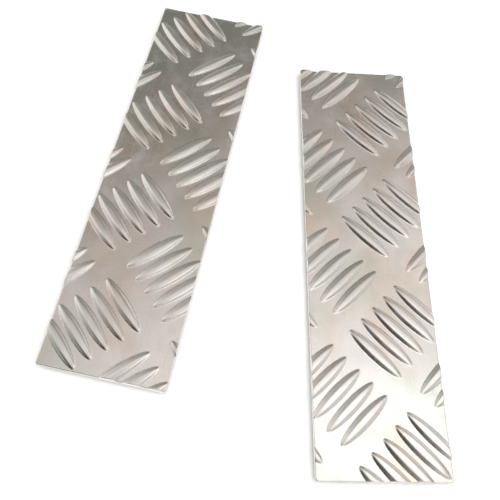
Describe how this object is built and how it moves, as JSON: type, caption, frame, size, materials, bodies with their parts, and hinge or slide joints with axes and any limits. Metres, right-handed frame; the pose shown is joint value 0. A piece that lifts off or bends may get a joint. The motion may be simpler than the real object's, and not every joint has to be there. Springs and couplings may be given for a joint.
{
  "type": "kick plate",
  "caption": "Pair of narrow self-adhesive kick plates in five-bar aluminium tread plate, with foam tape strips and peel-off liners on the back.",
  "frame": {"origin": "on the back of plate A, at the centre of its middle tape strip's liner, which is the plate's centre in plan", "axes": "+Z out of the tread face, +Y along plate A's length, +X across plate A; plate B lies on the -X side, turned end for end"},
  "size_m": [0.1682, 0.2447, 0.0051],
  "materials": {
    "mill_aluminium": "mill finish, bright, lightly scuffed",
    "foam_tape": "matt closed-cell foam",
    "liner_paper": "smooth glassine release paper"
  },
  "bodies": {
    "plate_a": {"plate_a": "mill_aluminium", "plate_a_tape_1": "foam_tape", "plate_a_tape_2": "foam_tape", "plate_a_tape_3": "foam_tape"},
    "plate_b": {"plate_b": "mill_aluminium", "plate_b_tape_1": "foam_tape", "plate_b_tape_2": "foam_tape", "plate_b_tape_3": "foam_tape"},
    "plate_a_liner_1": {"plate_a_liner_1": "liner_paper"},
    "plate_a_liner_2": {"plate_a_liner_2": "liner_paper"},
    "plate_a_liner_3": {"plate_a_liner_3": "liner_paper"},
    "plate_b_liner_1": {"plate_b_liner_1": "liner_paper"},
    "plate_b_liner_2": {"plate_b_liner_2": "liner_paper"},
    "plate_b_liner_3": {"plate_b_liner_3": "liner_paper"}
  },
  "joints": [
    {"name": "plate_b_lift", "type": "slide", "parent": "plate_a", "child": "plate_b", "axis": [0, 0, 1], "range_m": [0, 0.12]},
    {"name": "plate_a_liner_1_peel", "type": "slide", "parent": "plate_a", "child": "plate_a_liner_1", "axis": [0, -1, 0], "range_m": [0, 0.2]},
    {"name": "plate_a_liner_2_peel", "type": "slide", "parent": "plate_a", "child": "plate_a_liner_2", "axis": [0, -1, 0], "range_m": [0, 0.2]},
    {"name": "plate_a_liner_3_peel", "type": "slide", "parent": "plate_a", "child": "plate_a_liner_3", "axis": [0, -1, 0], "range_m": [0, 0.2]},
    {"name": "plate_b_liner_1_peel", "type": "slide", "parent": "plate_b", "child": "plate_b_liner_1", "axis": [-0.1959, -0.9806, 0], "range_m": [0, 0.2]},
    {"name": "plate_b_liner_2_peel", "type": "slide", "parent": "plate_b", "child": "plate_b_liner_2", "axis": [-0.1959, -0.9806, 0], "range_m": [0, 0.2]},
    {"name": "plate_b_liner_3_peel", "type": "slide", "parent": "plate_b", "child": "plate_b_liner_3", "axis": [-0.1959, -0.9806, 0], "range_m": [0, 0.2]}
  ]
}
